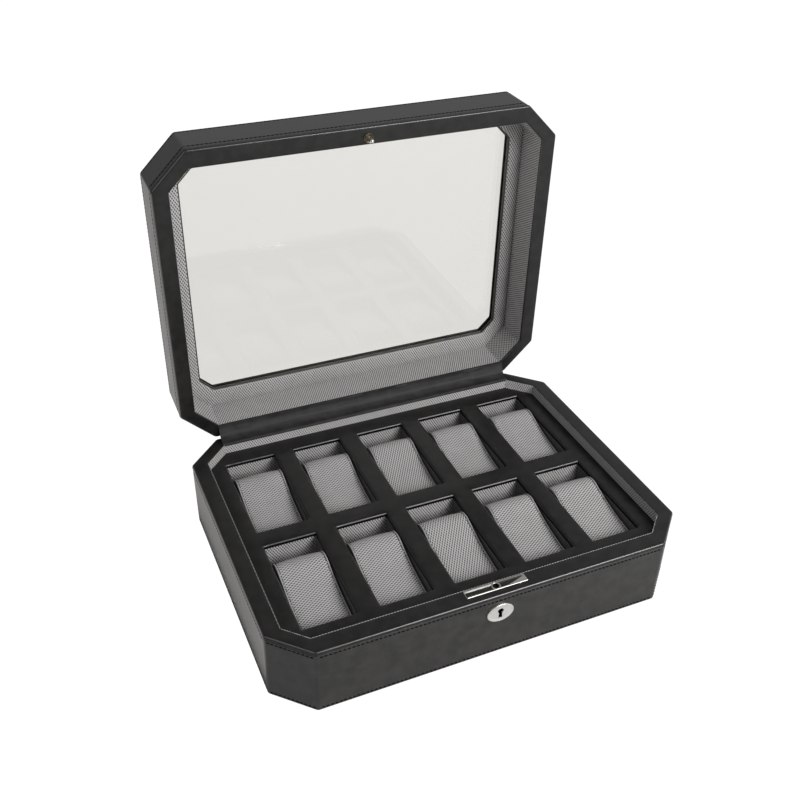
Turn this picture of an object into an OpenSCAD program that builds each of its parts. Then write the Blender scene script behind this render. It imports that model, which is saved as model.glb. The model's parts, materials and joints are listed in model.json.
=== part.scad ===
// Watch box: an eight-sided leather case with a window lid, ten lift-out cushions and a front lock.
// Millimetres. +X is to the right, +Y to the back, +Z up. The origin is the middle of the base's footprint, on the
// surface that the box stands on. The lid's pieces are drawn closed, then turned open about the hinge.

/* [Box] */
// Width over the leather
box_w = 314; // [308:1:330]
// Depth over the leather
box_d = 240; // [236:1:250]
// Leg of each corner chamfer, measured along the sides
chamfer = 26; // [22:1:28]
// Height of the base, to the top of its rim
base_h = 56; // [54:1:64]
// Height of the lid, from its rim to its top
lid_h = 37.5; // [34:0.5:42]
// Gap between the two rims when the lid is closed
rim_gap = 2; // [2:0.5:3]
// How far the lid stands open, in degrees
lid_angle = 89; // [0:1:90]

/* [Walls] */
// Thickness of the side walls, leather and lining included
side_wall = 12; // [11:0.5:13]
// Thickness of the front wall, which holds the lock
front_wall = 13; // [12:0.5:14]
// Thickness of the back wall
back_wall = 10; // [9.5:0.5:11]
// Thickness of the four chamfer walls
corner_wall = 10.1; // [9:0.1:10.5]
// Thickness of the leather
leather_t = 1.2; // [1:0.1:1.4]
// Thickness of the fabric lining
lining_t = 1; // [0.8:0.1:1.2]
// Height of the rim's folded edge, on the outside
rim_lip = 2.8; // [2.4:0.1:3.2]

/* [Tray] */
// Number of cushions in a row
columns = 5; // [3:1:5]
// Width of a tray opening
slot_w = 39; // [38:0.5:40]
// Length of a tray opening, front to back
slot_d = 84; // [82:0.5:85]
// Distance between the middles of neighbouring openings in a row
column_pitch = 55.4; // [54:0.2:56]
// Distance between the middles of the two rows
row_pitch = 100.4; // [99:0.2:101]
// How far the tray lies below the rim
tray_drop = 8; // [7:0.5:10]
// Thickness of the leather-covered tray panel
tray_t = 3; // [2.6:0.2:3.4]

/* [Cushions] */
// Width of a cushion
cushion_w = 36; // [34:0.5:37]
// Radius of the cushion's high back edge
crest_r = 12; // [11:0.5:13]
// Radius of its hollow seat
seat_r = 162; // [150:1:180]

/* [Window] */
// Width of the window opening
window_w = 265; // [250:1:266]
// Depth of the window opening
window_d = 189; // [180:1:190]
// Leg of the window's corner chamfers
window_chamfer = 10.5; // [8:0.5:14]
// Thickness of the glass
glass_t = 3; // [2.5:0.1:3]

/* [Hinge and lock] */
// Length of the piano hinge
hinge_len = 248; // [200:1:250]
// Number of knuckles along the hinge
knuckles = 21; // [11:2:21]
// Width of the lock plate along the rim
lock_plate_w = 46; // [44:1:50]
// Height of the keyhole plate's middle above the surface
keyhole_z = 40; // [38:1:42]
// Travel of the lock bolt
bolt_travel = 5; // [5:0.1:5.5]

/* [Hidden] */
$fn = 48;
root2 = sqrt(2);

two = function (i) str(i < 10 ? "0" : "", i);
cover_name = function (i) str("cushion_cover_", two(i));
foam_name = function (i) str("cushion_foam_", two(i));
cushion_count = 2 * columns;

// Colours
black_leather = [0.10, 0.10, 0.10];
rim_black = [0.07, 0.07, 0.07];
grey_fabric = [0.50, 0.50, 0.49];
board_brown = [0.55, 0.44, 0.32];
steel = [0.76, 0.76, 0.75];
dark_gasket = [0.05, 0.05, 0.05];
foam_cream = [0.86, 0.84, 0.76];
felt_black = [0.09, 0.09, 0.10];
glass_tint = [0.80, 0.84, 0.82, 0.35];

// Base levels
sheet_t = 1;
floor_t = 4.2;
floor_top = sheet_t + floor_t;
board_top = base_h - leather_t;
rim_groove = 0.3;
wrap_start = 0.4;
tray_top = base_h - tray_drop;
tray_bottom = tray_top - tray_t;
tray_fit = 0.3;
tray_leather_t = 1.4;
tray_edge_t = 0.9;
wall_board = 6;

// Lid levels, with the lid closed
lid_z = base_h + rim_gap;
lid_board_z = lid_z + leather_t;
lid_top = lid_z + lid_h;
panel_z = lid_top - 7;
glass_z = lid_top - 4.5;
top_leather_z = lid_top - leather_t;
pane_margin = 5;
gasket_t = 1;

// Tray openings
interior_y = (front_wall - back_wall) / 2;
column_x = function (i) ((i - 1) % columns - (columns - 1) / 2) * column_pitch;
row_y = function (i) interior_y + (i <= columns ? 1 : -1) * row_pitch / 2;
column_bar = column_pitch - slot_w - 2 * lining_t;
row_bar = row_pitch - slot_d - 2 * lining_t;
slots_w = (columns - 1) * column_pitch + slot_w + 2 * lining_t;
slots_d = row_pitch + slot_d + 2 * lining_t;

// Hinge
hinge_y = box_d / 2;
hinge_z = base_h + rim_gap / 2;
barrel_r = 1.6;
pin_r = 0.7;
pin_play = 0.05;
leaf_t = 1;
leaf_w = 8.8;
knuckle_len = hinge_len / knuckles;
knuckle_play = 0.25;
screw_r = 1;
screw_head_r = 1.7;
screw_head_t = 0.2;
screw_len = 11;
screw_xs = [for (k = [-3.5:1:3.5]) k * 30];
screw_y = hinge_y - 5.5;
strip_w = 256;
strip_t = 0.7;

// Lock
lock_y = -box_d / 2 + 8.4;
plate_d = 6.8;
plate_z = base_h - 0.8;
plate_top = base_h + 0.4;
ring_r = 3.4;
ring_hole_r = 2.3;
case_w = 40;
case_d = 6;
case_z = 28;
case_wall = 0.8;
case_fit = 0.2;
ball_r = 1.9;
ball_z = lid_z - 6.25;
neck_r = 1;
cup_r = 4;
keyhole_a = 10.1;
keyhole_b = 7.8;
keyhole_rim = 1.4;

// ---- Outlines ----

// Eight-sided outline. half_w is half its width, front and back are its y limits, and corner is the value of
// |x| + |y| along the chamfers.
function octagon(half_w, front, back, corner) = [
    [half_w, corner - half_w], [corner - back, back], [back - corner, back], [-half_w, corner - half_w],
    [-half_w, half_w - corner], [-corner - front, front], [corner + front, front], [half_w, half_w - corner]
];

// The box's outline, t inside its outer surface
function outer(t) = octagon(
    box_w / 2 - t, t - box_d / 2, box_d / 2 - t,
    (box_w + box_d) / 2 - chamfer - t * root2
);

// The inside of the walls, t further in
function inner(t) = octagon(
    box_w / 2 - side_wall - t, front_wall + t - box_d / 2, box_d / 2 - back_wall - t,
    (box_w + box_d) / 2 - chamfer - (corner_wall + t) * root2
);

// The window's outline, t larger on every side
function window(t) = octagon(
    window_w / 2 + t, -window_d / 2 - t, window_d / 2 + t,
    (window_w + window_d) / 2 - window_chamfer + t * root2
);

function arc(centre, r, from, to, steps) = [
    for (k = [0:steps])
        let (a = from + (to - from) * k / steps)
            centre + r * [cos(a), sin(a)]
];

// Side view of a cushion, t inside its cover: y from the middle of its compartment, and z. A round crest at the
// back runs down a long hollow seat to a small round nose at the front.
crest_y = 17;
seat_high = 20;
seat_low = 3;
nose_r = 6;
foot_r = 3;
cushion_top = tray_top;
cushion_z = floor_top + lining_t + 0.2;
crest_centre = [crest_y, cushion_top - crest_r];
seat_centre = crest_centre + (crest_r + seat_r) * [-sin(seat_high), cos(seat_high)];
nose_centre = seat_centre + (seat_r + nose_r) * [sin(seat_low), -cos(seat_low)];
function cushion_outline(t) = concat(
    arc([crest_y + crest_r - foot_r, cushion_z + foot_r], foot_r - t, -90, 0, 4),
    arc(crest_centre, crest_r - t, 0, 90 + seat_high, 14),
    arc(seat_centre, seat_r + t, seat_high - 90, seat_low - 90, 8),
    arc(nose_centre, nose_r - t, 90 + seat_low, 180, 8),
    arc([nose_centre[0] - nose_r + foot_r, cushion_z + foot_r], foot_r - t, 180, 270, 4)
);

// ---- Helpers ----

module slab(points, from, to) {
    translate([0, 0, from])
        linear_extrude(to - from)
            polygon(points);
}

module ring(outside, inside, from, to) {
    translate([0, 0, from])
        linear_extrude(to - from)
            difference() {
                polygon(outside);
                polygon(inside);
            }
}

// Box from its low corner to its high corner
module block(low, high) {
    translate(low)
        cube(high - low);
}

// Turns a piece of the closed lid open about the hinge
module opened() {
    translate([0, hinge_y, hinge_z])
        rotate([-lid_angle, 0, 0])
            translate([0, -hinge_y, -hinge_z])
                children();
}

// Cylinder along X on the hinge's axis
module on_hinge(r, from, to) {
    translate([from, hinge_y, hinge_z])
        rotate([0, 90, 0])
            cylinder(r = r, h = to - from);
}

// Upright cylinder on the axis of the lock plate's ring
module on_stud(r, from, to) {
    translate([0, lock_y, from])
        cylinder(r = r, h = to - from);
}

// Keyhole through a wall, from y = from to y = to: a round top over a slot
module keyhole(r, from, to) {
    translate([0, to, keyhole_z + 1.8])
        rotate([90, 0, 0])
            cylinder(r = r, h = to - from);
    block([-r * 0.55, from, keyhole_z - 3 - r * 0.8], [r * 0.55, to, keyhole_z + 1.8]);
}

// All ten tray openings, widened by t on every side
module slots(t, from, to) {
    for (i = [1:cushion_count])
        translate([column_x(i), row_y(i), 0])
            block([-slot_w / 2 - t, -slot_d / 2 - t, from], [slot_w / 2 + t, slot_d / 2 + t, to]);
}

// ---- Base ----

module base_bottom_sheet() {
    color(felt_black)
        slab(outer(2), 0, sheet_t);
}

module base_floor() {
    color(board_brown)
        slab(inner(-lining_t), sheet_t, floor_top);
}

module base_wall_frame() {
    color(board_brown)
        difference() {
            ring(outer(leather_t), inner(-lining_t), sheet_t, board_top);
            lock_pocket(sheet_t, board_top + 1);
            keyhole(3.2, -box_d / 2, lock_y);
            hinge_holes(board_top - screw_len, base_h);
        }
}

// Room for the lock case, open at the top and towards the lining
module lock_pocket(from, to) {
    side = case_w / 2 + case_fit;
    block(
        [-side, lock_y - case_d / 2 - case_fit, max(from, case_z - case_fit)],
        [side, front_wall - lining_t - box_d / 2 + 0.01, to]
    );
}

module hinge_holes(from, to) {
    for (x = screw_xs)
        translate([x, screw_y, from])
            cylinder(r = screw_r + 0.1, h = to - from);
}

module base_leather_wrap() {
    color(black_leather)
        difference() {
            ring(outer(0), outer(leather_t), wrap_start, base_h - rim_lip - rim_groove);
            keyhole(3.2, -box_d / 2 - 1, lock_y);
        }
}

module base_rim_leather() {
    color(rim_black)
        difference() {
            union() {
                ring(outer(0), inner(0), board_top, base_h);
                ring(outer(0), outer(leather_t), base_h - rim_lip, base_h);
            }
            block(
                [-lock_plate_w / 2, lock_y - plate_d / 2, plate_z],
                [lock_plate_w / 2, lock_y + plate_d / 2, base_h + 1]
            );
            block(
                [-case_w / 2 - case_fit, lock_y - case_d / 2 - case_fit, board_top - 1],
                [case_w / 2 + case_fit, lock_y + case_d / 2 + case_fit, base_h + 1]
            );
            leaf_recess(board_top, base_h + 1);
        }
}

// Where a hinge leaf lies in a rim
module leaf_recess(from, to) {
    block(
        [-hinge_len / 2 - 0.2, hinge_y - leaf_w - 0.2, from],
        [hinge_len / 2 + 0.2, hinge_y + 1, to]
    );
}

module base_wall_lining() {
    color(grey_fabric)
        ring(inner(-lining_t), inner(0), floor_top, board_top);
}

// ---- Tray ----

module divider_lengthwise() {
    half = box_w / 2 - side_wall - 0.1;
    color(board_brown)
        block(
            [-half, interior_y - row_bar / 2, floor_top],
            [half, interior_y + row_bar / 2, tray_bottom]
        );
}

module divider_cross_walls() {
    color(board_brown)
        for (i = [1:cushion_count])
            if (i % columns != 0)
                translate([column_x(i) + column_pitch / 2, row_y(i), 0])
                    block(
                        [-column_bar / 2, -slot_d / 2 - lining_t, floor_top],
                        [column_bar / 2, slot_d / 2 + lining_t, tray_bottom]
                    );
}

module tray_border_walls() {
    color(board_brown)
        for (side = [-1, 1], row = [-1, 1]) {
            // beside the last opening of each row
            translate([side * (slots_w + wall_board) / 2, interior_y + row * row_pitch / 2, 0])
                block(
                    [-wall_board / 2, -slot_d / 2 - lining_t, floor_top],
                    [wall_board / 2, slot_d / 2 + lining_t, tray_bottom]
                );
            // in front of the front row and behind the back row, in two halves
            translate([side * slots_w / 4, interior_y + row * (slots_d + wall_board) / 2, 0])
                block(
                    [-slots_w / 4, -wall_board / 2, floor_top],
                    [slots_w / 4, wall_board / 2, tray_bottom]
                );
        }
}

module compartment_liners() {
    color(grey_fabric)
        difference() {
            slots(lining_t, floor_top, tray_bottom);
            slots(0, floor_top + lining_t, tray_bottom + 1);
        }
}

module tray_board() {
    color(board_brown)
        difference() {
            slab(inner(tray_fit), tray_bottom, tray_top - tray_leather_t);
            slots(tray_edge_t, tray_bottom - 1, tray_top);
        }
}

// The leather lies on the board and turns down inside each opening
module tray_leather() {
    color(rim_black)
        difference() {
            union() {
                slab(inner(tray_fit), tray_top - tray_leather_t, tray_top);
                slots(tray_edge_t, tray_bottom, tray_top - tray_leather_t / 2);
            }
            slots(0, tray_bottom - 1, tray_top + 1);
        }
}

// ---- Hinge ----

// Start of knuckle k, counted from the left
knuckle_x = function (k) -hinge_len / 2 + k * knuckle_len;

// A leaf whose lower face is at z = from, with the knuckles whose number is first, first + 2 and so on
module hinge_leaf(first, from) {
    difference() {
        block(
            [-hinge_len / 2, hinge_y - leaf_w, from],
            [hinge_len / 2, hinge_y - barrel_r - knuckle_play, from + leaf_t]
        );
        hinge_holes(from - 1, from + leaf_t + 1);
    }
    for (k = [first:2:knuckles - 1])
        translate([knuckle_x(k) + knuckle_play / 2, hinge_y, hinge_z])
            rotate([90, 0, 90])
                linear_extrude(knuckle_len - knuckle_play)
                    knuckle(from - hinge_z);
}

// Cross-section of a knuckle and the tongue that joins it to its leaf
module knuckle(leaf_low) {
    difference() {
        union() {
            circle(r = barrel_r);
            translate([-barrel_r - knuckle_play, leaf_low])
                square([barrel_r, leaf_t]);
        }
        circle(r = pin_r + pin_play);
    }
}

module hinge_leaf_base() {
    color(steel)
        hinge_leaf(0, board_top);
}

module hinge_leaf_lid() {
    color(steel)
        opened()
            hinge_leaf(1, lid_board_z - leaf_t);
}

module hinge_pin() {
    color(steel)
        on_hinge(pin_r, -hinge_len / 2, hinge_len / 2);
}

// Screws with flat heads, pointing down from the leaf's face
module hinge_screws(leaf_face, down) {
    for (x = screw_xs)
        translate([x, screw_y, leaf_face])
            mirror([0, 0, down ? 0 : 1]) {
                cylinder(r = screw_head_r, h = screw_head_t);
                translate([0, 0, -screw_len])
                    cylinder(r = screw_r, h = screw_len + screw_head_t / 2);
            }
}

module hinge_screws_base() {
    color(steel)
        hinge_screws(board_top + leaf_t, true);
}

module hinge_screws_lid() {
    color(steel)
        opened()
            hinge_screws(lid_board_z - leaf_t, false);
}

// The gusset strip over the hinge is one piece of leather. It is drawn as the half that lies on the base's rim and
// the half that lies on the lid's rim.
module hinge_strip_half(from, to) {
    block(
        [-strip_w / 2, hinge_y - back_wall + 0.5, from],
        [strip_w / 2, hinge_y - barrel_r - 0.3, to]
    );
}

module hinge_strip_base() {
    color(rim_black)
        hinge_strip_half(base_h, base_h + strip_t);
}

module hinge_strip_lid() {
    color(rim_black)
        opened()
            hinge_strip_half(lid_z - strip_t, lid_z);
}

// ---- Lock ----

module lock_plate() {
    color(steel)
        difference() {
            union() {
                block(
                    [-lock_plate_w / 2, lock_y - plate_d / 2, plate_z],
                    [lock_plate_w / 2, lock_y + plate_d / 2, plate_top]
                );
                for (side = [-1, 1])
                    translate([0, lock_y + side * (plate_d - 1.2) / 2, 0])
                        block([-lock_plate_w / 2 + 4, -0.6, plate_z], [lock_plate_w / 2 - 4, 0.6, plate_top + 0.4]);
                on_stud(ring_r, plate_z, plate_top + 0.5);
            }
            on_stud(ring_hole_r, plate_z - 1, plate_top + 1);
        }
}

module lock_case() {
    inside = case_w / 2 - case_wall;
    color(steel)
        difference() {
            block(
                [-case_w / 2, lock_y - case_d / 2, case_z],
                [case_w / 2, lock_y + case_d / 2, plate_z]
            );
            block(
                [-inside, lock_y - case_d / 2 + case_wall, case_z + case_wall],
                [inside, lock_y + case_d / 2 - case_wall, plate_z + 1]
            );
            keyhole(2.2, lock_y - case_d, lock_y);
        }
}

// The bolt is a fork that slides under the lock plate, on a plate that hangs beside the stud. The key's bit turns
// in the notch at its lower edge and throws it.
fork_z = plate_z - 1.1;
fork_t = 0.9;
fork_w = 4;
fork_tip = -ball_r - 0.5;
tail_t = 0.8;
tail_y = lock_y + fork_w / 2;
module lock_bolt() {
    color(steel) {
        difference() {
            block([-16, lock_y - fork_w / 2, fork_z], [fork_tip, tail_y, fork_z + fork_t]);
            block(
                [fork_tip - bolt_travel - 1.4, lock_y - neck_r - 0.2, fork_z - 1],
                [fork_tip + 1, lock_y + neck_r + 0.2, fork_z + fork_t + 1]
            );
        }
        translate([0, tail_y, 0])
            rotate([90, 0, 0])
                linear_extrude(tail_t)
                    difference() {
                        polygon([
                            [-16, fork_z + fork_t / 2], [-9, fork_z + fork_t / 2], [-9, 48.5], [6, 48.5],
                            [6, 44], [-16, 44]
                        ]);
                        translate([0, keyhole_z + 1])
                            circle(r = 5);
                    }
    }
}

// Bent leaf that holds the bolt at either end of its travel
module lock_spring() {
    color(steel)
        translate([0, lock_y + 1.6, 0])
            rotate([90, 0, 0])
                linear_extrude(3.2)
                    polygon([
                        [-18.8, 30], [-18.4, 30], [-14.4, 42], [-10.6, 42.6], [-10.6, 43], [-14.7, 42.5], [-18.8, 31]
                    ]);
}

// Oval plate with a raised edge around the keyhole
module keyhole_plate() {
    color(steel)
        difference() {
            translate([0, -box_d / 2, keyhole_z])
                rotate([90, 0, 0])
                    union() {
                        linear_extrude(0.8)
                            oval(0);
                        linear_extrude(1.4)
                            difference() {
                                oval(0);
                                oval(keyhole_rim);
                            }
                    }
            keyhole(2, -box_d / 2 - 3, lock_y);
        }
}

module oval(t) {
    polygon([for (a = [0:6:354]) [(keyhole_a - t) * cos(a), (keyhole_b - t) * sin(a)]]);
}

// ---- Lid ----

module lid_wall_frame() {
    color(board_brown)
        opened()
            difference() {
                ring(outer(leather_t), inner(-lining_t), lid_board_z, panel_z);
                on_stud(neck_r + 0.1, lid_z, lid_board_z + 9.2);
                hinge_holes(lid_z, lid_board_z + screw_len);
            }
}

module lid_top_panel() {
    color(board_brown)
        opened()
            difference() {
                slab(outer(leather_t), panel_z, top_leather_z);
                slab(window(gasket_t), panel_z - 1, top_leather_z);
                slab(window(pane_margin + 0.2), glass_z - 0.1, top_leather_z + 1);
            }
}

module lid_leather_wrap() {
    color(black_leather)
        opened()
            ring(outer(0), outer(leather_t), lid_z + rim_lip + rim_groove, top_leather_z);
}

module lid_top_leather() {
    color(black_leather)
        opened()
            ring(outer(0), window(gasket_t), top_leather_z, lid_top);
}

module lid_rim_leather() {
    color(rim_black)
        opened()
            difference() {
                union() {
                    ring(outer(0), inner(0), lid_z, lid_board_z);
                    ring(outer(0), outer(leather_t), lid_z, lid_z + rim_lip);
                }
                leaf_recess(lid_z - 1, lid_board_z);
                on_stud(neck_r + 0.1, lid_z - 1, lid_board_z + 1);
            }
}

module lid_wall_lining() {
    color(grey_fabric)
        opened()
            ring(inner(-lining_t), inner(0), lid_board_z, panel_z);
}

module lid_flange_lining() {
    color(grey_fabric)
        opened()
            ring(inner(0), window(gasket_t), panel_z - lining_t, panel_z);
}

module glass_pane() {
    color(glass_tint)
        opened()
            slab(window(pane_margin), glass_z, glass_z + glass_t);
}

// A rubber bead under the glass and another over it, both standing in the window's edge
module glass_gasket() {
    over = glass_z + glass_t;
    color(dark_gasket)
        opened() {
            ring(window(gasket_t), window(0), panel_z - lining_t - 0.4, glass_z);
            ring(window(gasket_t), window(0), over, lid_top - 0.3);
            ring(window(pane_margin), window(gasket_t), over, top_leather_z);
        }
}

module catch_stud() {
    color(steel)
        opened()
            union() {
                translate([0, lock_y, ball_z])
                    sphere(r = ball_r);
                on_stud(neck_r, ball_z, lid_board_z + 9);
            }
}

module catch_stud_cup() {
    color(steel)
        opened()
            difference() {
                on_stud(cup_r, lid_z - 0.7, lid_z);
                on_stud(neck_r + 0.1, lid_z - 1, lid_z + 1);
            }
}

// ---- Cushions ----

// A cushion's shape, t inside its cover
module cushion_solid(t) {
    width = cushion_w - 2 * t;
    translate([-width / 2, 0, 0])
        rotate([90, 0, 90])
            linear_extrude(width)
                polygon(cushion_outline(t));
}

cover_t = 1.2;

module cushion_cover(i) {
    color(grey_fabric)
        translate([column_x(i), row_y(i), 0])
            difference() {
                cushion_solid(0);
                cushion_solid(cover_t);
            }
}

module cushion_foam(i) {
    color(foam_cream)
        translate([column_x(i), row_y(i), 0])
            cushion_solid(cover_t);
}

base_bottom_sheet();
base_floor();
base_wall_frame();
base_leather_wrap();
base_rim_leather();
base_wall_lining();
divider_lengthwise();
divider_cross_walls();
tray_border_walls();
compartment_liners();
tray_board();
tray_leather();
hinge_leaf_base();
hinge_pin();
hinge_screws_base();
hinge_strip_base();
lock_plate();
lock_case();
lock_spring();
keyhole_plate();
lock_bolt();
lid_wall_frame();
lid_top_panel();
lid_leather_wrap();
lid_top_leather();
lid_rim_leather();
lid_wall_lining();
lid_flange_lining();
glass_pane();
glass_gasket();
catch_stud();
catch_stud_cup();
hinge_leaf_lid();
hinge_screws_lid();
hinge_strip_lid();
for (i = [1:cushion_count]) {
    cushion_cover(i);
    cushion_foam(i);
}
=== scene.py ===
"""A ten-place watch box: a leather case with a window lid, fabric-covered cushions and a front lock.

Everything is in metres, in the CAD frame: +X to the right, +Y to the back, +Z up. Lengths written here are in
millimetres times MM. Pieces of the lid are built closed, then turned open about the hinge.
"""
import json
import math

import bmesh
import bpy
import numpy as np
from mathutils import Matrix, Vector, noise


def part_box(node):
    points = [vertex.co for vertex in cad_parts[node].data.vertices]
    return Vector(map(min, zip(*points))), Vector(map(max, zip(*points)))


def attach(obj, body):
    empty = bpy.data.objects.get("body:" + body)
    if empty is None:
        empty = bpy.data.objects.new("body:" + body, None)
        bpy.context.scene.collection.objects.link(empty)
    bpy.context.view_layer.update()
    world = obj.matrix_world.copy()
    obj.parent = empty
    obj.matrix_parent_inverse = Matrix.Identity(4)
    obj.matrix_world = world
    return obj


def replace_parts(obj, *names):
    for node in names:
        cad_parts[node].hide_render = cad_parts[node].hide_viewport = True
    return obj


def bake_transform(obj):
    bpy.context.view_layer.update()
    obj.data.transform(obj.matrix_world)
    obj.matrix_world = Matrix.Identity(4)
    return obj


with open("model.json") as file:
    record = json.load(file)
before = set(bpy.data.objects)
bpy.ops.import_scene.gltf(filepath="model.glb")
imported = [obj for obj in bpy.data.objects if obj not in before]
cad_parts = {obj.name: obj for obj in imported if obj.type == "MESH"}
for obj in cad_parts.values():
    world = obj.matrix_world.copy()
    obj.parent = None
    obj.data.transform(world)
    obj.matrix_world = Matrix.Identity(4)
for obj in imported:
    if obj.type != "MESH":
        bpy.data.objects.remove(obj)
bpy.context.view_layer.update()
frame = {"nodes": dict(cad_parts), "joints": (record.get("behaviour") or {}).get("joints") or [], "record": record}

MM = 0.001
ROOT2 = math.sqrt(2)


# ---- What the frame says ----

HINGE = next(j for j in frame["joints"] if j["name"] == "lid_hinge")
PIVOT = Vector(HINGE["pos_m"])
OPEN_TURN = math.radians(HINGE["range_deg"][0])
OPENED = Matrix.Translation(PIVOT) @ Matrix.Rotation(OPEN_TURN, 4, "X") @ Matrix.Translation(-PIVOT)
CLOSED = OPENED.inverted()


def arc_between(before, here, after, radius, steps):
    """The points of the arc that rounds a corner."""
    a = (before - here) / np.linalg.norm(before - here)
    b = (after - here) / np.linalg.norm(after - here)
    half = math.acos(np.clip(a @ b, -1, 1)) / 2
    middle = (a + b) / np.linalg.norm(a + b)
    centre = here + middle * radius / math.sin(half)
    start = here + a * radius / math.tan(half) - centre
    end = here + b * radius / math.tan(half) - centre
    turn = math.pi - 2 * half
    angles = [turn * k / steps for k in range(steps + 1)]
    return [centre + (math.sin(turn - a) * start + math.sin(a) * end) / math.sin(turn) for a in angles]


def rounded(corners, steps=4):
    """A closed profile through (x, y, radius) corners."""
    xy = np.array([c[:2] for c in corners], float)
    points = []
    for (_, _, r), here, before, after in zip(corners, xy, np.roll(xy, 1, 0), np.roll(xy, -1, 0)):
        points += arc_between(before, here, after, r, steps) if r else [here]
    return np.array(points)


class Octagon:
    """An eight-sided outline: half its width, its y limits and the value of |x| + |y| along its chamfers."""

    def __init__(self, half_w, front, back, corner):
        self.sizes = np.array([half_w, front, back, corner])

    def inset(self, t):
        return Octagon(*(self.sizes + t * np.array([-1, 1, -1, -ROOT2])))

    def toward(self, other, share):
        return Octagon(*(self.sizes * (1 - share) + other.sizes * share))

    def corners(self):
        w, f, b, c = self.sizes
        right = [(w, c - w), (c - b, b)]
        left = [(b - c, b), (-w, c - w), (-w, w - c), (-c - f, f)]
        return np.array(right + left + [(c + f, f), (w, w - c)])

    def ring(self, z, radius):
        """The outline at height z, with each corner turned on an arc."""
        corners = [(x, y, max(radius, 0.1 * MM)) for x, y in self.corners()]
        return np.array([(x, y, z) for x, y in rounded(corners, steps=6)])


def node_points(node, lid=False):
    """A CAD node's vertices, with the lid closed if the node is the lid's."""
    points = [CLOSED @ v.co if lid else v.co for v in frame["nodes"][node].data.vertices]
    return np.array([tuple(p) for p in points])


def outline_of(node, lid=False):
    """The outer outline of an eight-sided CAD node."""
    x, y, _ = node_points(node, lid).T
    return Octagon(x.max(), y.min(), y.max(), (abs(x) + abs(y)).max())


def levels_of(node, lid=False):
    """The lowest and highest z of a CAD node."""
    z = node_points(node, lid)[:, 2]
    return z.min(), z.max()


TRAY_FIT = 0.3 * MM
PANE_MARGIN = 5 * MM
OUTER = outline_of("base_leather_wrap")
INNER = outline_of("tray_leather").inset(-TRAY_FIT)
WINDOW = outline_of("glass_pane", lid=True).inset(PANE_MARGIN)
RIM_Z = levels_of("base_rim_leather")[1]
TRAY_BOTTOM, TRAY_Z = levels_of("tray_leather")
LID_RIM_Z = levels_of("lid_rim_leather", lid=True)[0]
LID_TOP_Z = levels_of("lid_top_leather", lid=True)[1]
PANEL_Z = levels_of("lid_top_panel", lid=True)[0]
GLASS_Z = levels_of("glass_pane", lid=True)
CORNER_R = 4 * MM
CUSHIONS = [f"{i:02d}" for i in range(1, 11)]


# ---- Lines and rings of points ----

def circle(steps):
    """Points round a circle of radius 1."""
    return [(math.cos(a), math.sin(a)) for a in (2 * math.pi * k / steps for k in range(steps))]


def directions(line):
    """Unit vectors along a line of points."""
    tangent = np.gradient(line, axis=0)
    return tangent / np.linalg.norm(tangent, axis=1)[:, None]


def normals(line):
    """Unit vectors to the left of a line of 2-D points."""
    tangent = directions(line)
    return np.stack([-tangent[:, 1], tangent[:, 0]], 1)


def reach_along(line):
    """How far along a line each of its points is."""
    return np.concatenate([[0], np.cumsum(np.linalg.norm(np.diff(line, axis=0), axis=1))])


def evenly(line, count=None, spacing=None):
    """The same line with evenly spaced points, and how far along it each of them is."""
    reach = reach_along(line)
    at = np.linspace(0, reach[-1], count or int(reach[-1] / spacing) + 1)
    return np.stack([np.interp(at, reach, values) for values in line.T], 1), at


def corner_profile(level, side, corners):
    """A closed profile of (inset, z) points, from (inset, height, radius) corners in millimetres. Heights are
    measured from a level, upwards with side 1 and downwards with side -1."""
    return rounded([(t * MM, level + side * h * MM, r * MM) for t, h, r in corners])


def sweep_rings(outline, profile, radius=CORNER_R):
    """Rings for a profile of (inset, z) points that runs round an outline."""
    return [outline.inset(t).ring(z, radius - t) for t, z in profile]


def band_faces(count, size, wrap=False):
    """Quads between rings of size points each; wrap joins the last ring to the first."""
    faces = []
    for i in range(count if wrap else count - 1):
        here, there = i * size, (i + 1) % count * size
        for j in range(size):
            k = (j + 1) % size
            faces.append((here + j, here + k, there + k, there + j))
    return faces


def skin(rings, capped=True):
    """Points and faces of a skin over rings of points, with its two ends closed if capped."""
    rings = np.array(rings)
    count, size, _ = rings.shape
    faces = band_faces(count, size)
    if capped:
        faces += [tuple(range(size))[::-1], tuple(range((count - 1) * size, count * size))]
    return rings.reshape(-1, 3), faces


def lathe(profile, centre, steps=32, capped=True):
    """Points and faces of a profile of (radius, z) points turned about an upright axis."""
    x, y, z = centre
    rings = []
    for r, h in profile:
        r = max(r, 0.001 * MM)
        rings.append([(x + r * c, y + r * s, z + h) for c, s in circle(steps)])
    return skin(rings, capped)


def cord(path, radius, sides=8):
    """Points and faces of a round cord along a list of 3-D points."""
    rings = []
    for p, along in zip(np.array(path), directions(path)):
        a = np.cross(along, (1, 0, 0))
        a /= np.linalg.norm(a)
        b = np.cross(along, a)
        rings.append([p + radius * (c * a + s * b) for c, s in circle(sides)])
    return skin(rings)


# ---- Making meshes ----

def add_object(name, data):
    """A new object in the scene."""
    piece = bpy.data.objects.new(name, data)
    bpy.context.scene.collection.objects.link(piece)
    return piece


def smooth(mesh, sharp):
    """Smooth shading, with sharp edges where faces meet at more than some degrees."""
    mesh.shade_smooth()
    mesh.set_sharp_from_angle(angle=math.radians(sharp))


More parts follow.
